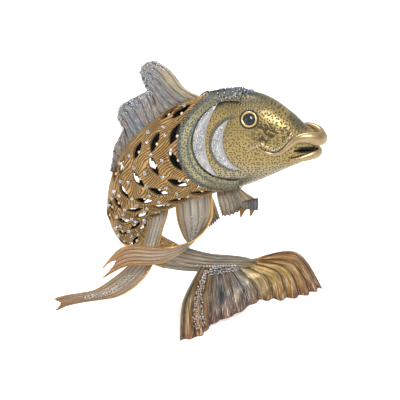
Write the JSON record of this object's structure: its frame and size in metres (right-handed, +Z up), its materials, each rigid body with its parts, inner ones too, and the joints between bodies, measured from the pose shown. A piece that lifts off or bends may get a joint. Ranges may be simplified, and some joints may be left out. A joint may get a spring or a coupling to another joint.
{
  "type": "fish figurine",
  "caption": "Free-standing jewelled metal carp ornament with a pierced body, set stones, twisted belly fins and a flared tail fin that it stands on.",
  "frame": {"origin": "middle of the footprint, on the floor", "axes": "+X to the right of the picture, where the head points; +Y away from the viewer; +Z up"},
  "size_m": [0.2282, 0.1169, 0.2138],
  "materials": {
    "engraved_bronze": "engraved antique bronze-gold plating",
    "antique_gold": "stippled antique gold plating with dark enamel in the pits",
    "collar_enamel": "blue-grey enamel, stippled",
    "plate_enamel": "lilac-silver enamel",
    "lip_gold": "polished warm gold",
    "bezel_gold": "polished champagne gold",
    "eye_glass": "dark blue-grey faceted glass",
    "pearl": "cream imitation pearl",
    "cup_silver": "silver plated stone cups",
    "crystal": "clear cut glass",
    "dorsal_enamel": "silver-blue enamel with peach streaks",
    "ribbon_enamel": "grey-beige and peach enamel with a gold edge",
    "pectoral_enamel": "peach and brown enamel with dark stripes",
    "tail_enamel": "gold, slate-blue and rust enamel in ribs",
    "stem_enamel": "grey-taupe streaked enamel",
    "plain_brass": "plain brass strip"
  },
  "bodies": {
    "root": {"body_shell_left": "engraved_bronze", "body_shell_right": "engraved_bronze", "cheek_crystals_left": "crystal", "cheek_crystals_right": "crystal", "cheek_plate_left": "plate_enamel", "cheek_plate_right": "plate_enamel", "crown_crystals": "crystal", "crystal_cups_left": "cup_silver", "crystal_cups_right": "cup_silver", "dorsal_crystals": "crystal", "dorsal_fin": "dorsal_enamel", "eye_bezel_left": "bezel_gold", "eye_bezel_right": "bezel_gold", "eye_stone_left": "eye_glass", "eye_stone_right": "eye_glass", "front_ribbon_crystals": "crystal", "front_ribbon_fin": "ribbon_enamel", "gill_collar_left": "collar_enamel", "gill_collar_right": "collar_enamel", "gill_cover_left": "plate_enamel", "gill_cover_right": "plate_enamel", "gill_crystals_left": "crystal", "gill_crystals_right": "crystal", "head_shell": "antique_gold", "lip_crystals_left": "crystal", "lip_crystals_right": "crystal", "lower_lip": "lip_gold", "neck_band": "plain_brass", "pearls_left": "pearl", "pearls_right": "pearl", "pectoral_fin_left": "pectoral_enamel", "pectoral_fin_right": "pectoral_enamel", "rear_ribbon_crystals": "crystal", "rear_ribbon_fin": "ribbon_enamel", "scale_crystals_left": "crystal", "scale_crystals_right": "crystal", "stem_crystals": "crystal", "tail_crystals": "crystal", "tail_fin": "tail_enamel", "tail_stem": "stem_enamel", "upper_lip": "lip_gold"}
  },
  "joints": []
}
